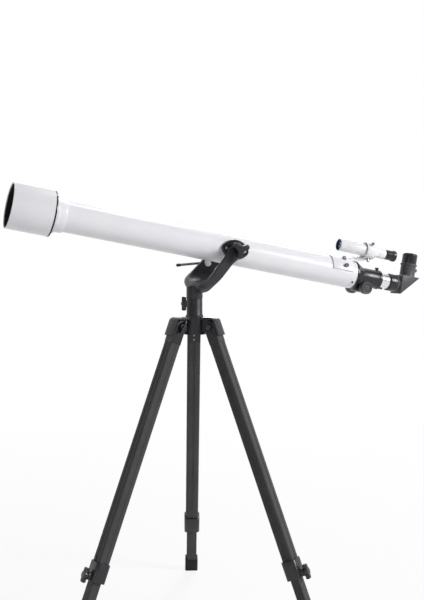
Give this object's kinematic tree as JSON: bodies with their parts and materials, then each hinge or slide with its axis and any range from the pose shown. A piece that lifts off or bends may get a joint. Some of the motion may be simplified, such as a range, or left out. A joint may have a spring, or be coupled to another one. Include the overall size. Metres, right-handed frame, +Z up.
{
  "type": "telescope on tripod",
  "caption": "Long white refracting telescope with finder, star diagonal and rack focuser, on a leaning yoke mount and a folding black aluminium tripod.",
  "frame": {"origin": "floor level, in the middle of the box round the whole telescope", "axes": "+X along the tube towards the eyepiece, +Y away from the side that the picture shows, +Z up"},
  "size_m": [0.9626, 0.508, 0.9143],
  "materials": {
    "white_enamel": "glossy white enamel",
    "black_gloss": "gloss black",
    "black_plastic": "satin black",
    "charcoal_casting": "matt charcoal paint on a casting",
    "black_aluminium": "black anodised",
    "chrome": "polished",
    "dark_steel": "blackened",
    "lens_glass": "coated",
    "mirror": "silvered",
    "foot_rubber": "matt"
  },
  "bodies": {
    "head": {"tripod_head": "charcoal_casting", "hinge_bolts": "dark_steel"},
    "yoke": {"yoke": "charcoal_casting", "azimuth_spindle": "dark_steel", "azimuth_washer": "black_plastic"},
    "azimuth_lock": {"azimuth_knob": "black_plastic"},
    "tube": {"main_tube": "white_enamel", "objective_cell": "white_enamel", "objective_lens": "lens_glass", "lens_retainer": "black_plastic", "dew_shield": "white_enamel", "shield_trim_ring": "black_gloss", "altitude_plates": "black_gloss", "plate_screws": "chrome", "rod_bracket": "dark_steel", "focuser_housing": "black_plastic", "focuser_screws": "dark_steel", "finder_tube": "white_enamel", "finder_lens": "lens_glass", "finder_bracket": "white_enamel", "bracket_nuts": "chrome"},
    "altitude_clamp_near": {"altitude_knob_near": "black_plastic"},
    "altitude_clamp_far": {"altitude_knob_far": "black_plastic"},
    "rod": {"altitude_rod": "chrome"},
    "rod_clamp": {"rod_eye_bolt": "chrome"},
    "rod_lock": {"rod_nut": "chrome"},
    "draw": {"drawtube": "chrome", "focus_rack": "dark_steel", "drawtube_collar": "black_plastic"},
    "pinion": {"pinion_shaft": "dark_steel", "focus_knobs": "black_plastic"},
    "focus_lock": {"focus_lock_screw": "dark_steel"},
    "diagonal": {"diagonal_housing": "black_plastic", "diagonal_mirror": "mirror"},
    "eyepiece_lock": {"eyepiece_screw": "dark_steel"},
    "eyepiece": {"eyepiece_barrel": "chrome", "eyepiece_body": "black_plastic", "eyepiece_lens": "lens_glass"},
    "finder_eye": {"finder_eyepiece": "black_plastic"},
    "finder_aim_1": {"finder_screw_1": "chrome"},
    "finder_aim_2": {"finder_screw_2": "chrome"},
    "finder_aim_3": {"finder_screw_3": "chrome"},
    "leg_1": {"leg_bracket_1": "charcoal_casting", "upper_leg_1": "black_aluminium", "leg_clamp_1": "black_plastic"},
    "leg_lower_1": {"lower_leg_1": "black_aluminium", "foot_1": "foot_rubber"},
    "leg_lock_1": {"leg_knob_1": "black_plastic"},
    "leg_2": {"leg_bracket_2": "charcoal_casting", "upper_leg_2": "black_aluminium", "leg_clamp_2": "black_plastic"},
    "leg_lower_2": {"lower_leg_2": "black_aluminium", "foot_2": "foot_rubber"},
    "leg_lock_2": {"leg_knob_2": "black_plastic"},
    "leg_3": {"leg_bracket_3": "charcoal_casting", "upper_leg_3": "black_aluminium", "leg_clamp_3": "black_plastic"},
    "leg_lower_3": {"lower_leg_3": "black_aluminium", "foot_3": "foot_rubber"},
    "leg_lock_3": {"leg_knob_3": "black_plastic"}
  },
  "joints": [
    {"name": "azimuth", "type": "hinge", "parent": "head", "child": "yoke", "pos_m": [-0.07778, -0.02686, 0.6751], "axis": [0, 0, 1], "continuous": true},
    {"name": "azimuth_lock_turn", "type": "hinge", "parent": "head", "child": "azimuth_lock", "pos_m": [-0.07778, -0.02686, 0.6636], "axis": [-0.6626, 0.749, 0], "continuous": true},
    {"name": "altitude", "type": "hinge", "parent": "yoke", "child": "tube", "pos_m": [0.00222, -0.02686, 0.7801], "axis": [0, 1, 0], "range_deg": [-25, 60]},
    {"name": "altitude_clamp_near_turn", "type": "hinge", "parent": "tube", "child": "altitude_clamp_near", "pos_m": [0.00222, -0.02686, 0.7801], "axis": [0, -1, 0], "continuous": true},
    {"name": "altitude_clamp_far_turn", "type": "hinge", "parent": "tube", "child": "altitude_clamp_far", "pos_m": [0.00222, -0.02686, 0.7801], "axis": [0, 1, 0], "continuous": true},
    {"name": "rod_pivot", "type": "hinge", "parent": "tube", "child": "rod", "pos_m": [0.04235, 0.03144, 0.75779], "axis": [0, 1, 0], "range_deg": [-31, 13.5]},
    {"name": "rod_swivel", "type": "hinge", "parent": "yoke", "child": "rod_clamp", "pos_m": [-0.03378, 0.03144, 0.7516], "axis": [0, 1, 0], "range_deg": [-13.5, 31]},
    {"name": "rod_lock_turn", "type": "hinge", "parent": "rod_clamp", "child": "rod_lock", "pos_m": [-0.03378, 0.03144, 0.7516], "axis": [0, 1, 0], "continuous": true},
    {"name": "focus", "type": "slide", "parent": "tube", "child": "draw", "axis": [0.9833, 0, -0.1822], "range_m": [-0.022, 0.06]},
    {"name": "pinion_turn", "type": "hinge", "parent": "tube", "child": "pinion", "pos_m": [0.32488, -0.02686, 0.69375], "axis": [0, 1, 0], "range_deg": [-225, 600]},
    {"name": "focus_lock_turn", "type": "hinge", "parent": "tube", "child": "focus_lock", "pos_m": [0.3728, -0.02686, 0.73277], "axis": [0.1822, 0, 0.9833], "continuous": true},
    {"name": "diagonal_turn", "type": "hinge", "parent": "draw", "child": "diagonal", "pos_m": [0.41912, -0.02686, 0.70283], "axis": [0.9833, 0, -0.1822], "continuous": true},
    {"name": "eyepiece_pull", "type": "slide", "parent": "diagonal", "child": "eyepiece", "axis": [0.1822, 0, 0.9833], "range_m": [0, 0.02]},
    {"name": "eyepiece_lock_turn", "type": "hinge", "parent": "diagonal", "child": "eyepiece_lock", "pos_m": [0.45808, -0.02686, 0.73527], "axis": [0.9833, 0, -0.1822], "continuous": true},
    {"name": "finder_focus", "type": "hinge", "parent": "tube", "child": "finder_eye", "pos_m": [0.37776, -0.05086, 0.7705], "axis": [0.9833, 0, -0.1822], "continuous": true},
    {"name": "finder_aim_1_turn", "type": "hinge", "parent": "tube", "child": "finder_aim_1", "pos_m": [0.33646, -0.05086, 0.77815], "axis": [0.1289, -0.7071, 0.6953], "continuous": true},
    {"name": "finder_aim_2_turn", "type": "hinge", "parent": "tube", "child": "finder_aim_2", "pos_m": [0.33646, -0.05086, 0.77815], "axis": [-0.176, -0.2588, -0.9498], "continuous": true},
    {"name": "finder_aim_3_turn", "type": "hinge", "parent": "tube", "child": "finder_aim_3", "pos_m": [0.33646, -0.05086, 0.77815], "axis": [0.0472, 0.9659, 0.2545], "continuous": true},
    {"name": "leg_fold_1", "type": "hinge", "parent": "head", "child": "leg_1", "pos_m": [-0.11845, -0.03514, 0.6171], "axis": [0.1994, -0.9799, 0], "range_deg": [0, 20]},
    {"name": "leg_slide_1", "type": "slide", "parent": "leg_1", "child": "leg_lower_1", "axis": [-0.3512, -0.0714, -0.9336], "range_m": [0, 0.38]},
    {"name": "leg_lock_1_turn", "type": "hinge", "parent": "leg_1", "child": "leg_lock_1", "pos_m": [-0.30563, -0.07322, 0.1195], "axis": [-0.9148, -0.1861, 0.3584], "continuous": true},
    {"name": "leg_fold_2", "type": "hinge", "parent": "head", "child": "leg_2", "pos_m": [-0.05029, -0.05794, 0.6171], "axis": [0.749, 0.6626, 0], "range_deg": [0, 20]},
    {"name": "leg_slide_2", "type": "slide", "parent": "leg_2", "child": "leg_lower_2", "axis": [0.2375, -0.2684, -0.9336], "range_m": [0, 0.38]},
    {"name": "leg_lock_2_turn", "type": "hinge", "parent": "leg_2", "child": "leg_lock_2", "pos_m": [0.07628, -0.201, 0.1195], "axis": [0.6186, -0.6992, 0.3584], "continuous": true},
    {"name": "leg_fold_3", "type": "hinge", "parent": "head", "child": "leg_3", "pos_m": [-0.06462, 0.01249, 0.6171], "axis": [-0.9483, 0.3173, 0], "range_deg": [0, 20]},
    {"name": "leg_slide_3", "type": "slide", "parent": "leg_3", "child": "leg_lower_3", "axis": [0.1137, 0.3398, -0.9336], "range_m": [0, 0.38]},
    {"name": "leg_lock_3_turn", "type": "hinge", "parent": "leg_3", "child": "leg_lock_3", "pos_m": [-0.00401, 0.19363, 0.1195], "axis": [0.2962, 0.8853, 0.3584], "continuous": true}
  ],
  "couplings": [
    {"joint": "rod_pivot", "follows": "altitude", "ratio": -0.5},
    {"joint": "rod_swivel", "follows": "altitude", "ratio": 0.5},
    {"joint": "pinion_turn", "follows": "focus", "rad_per_m": 172.41}
  ]
}
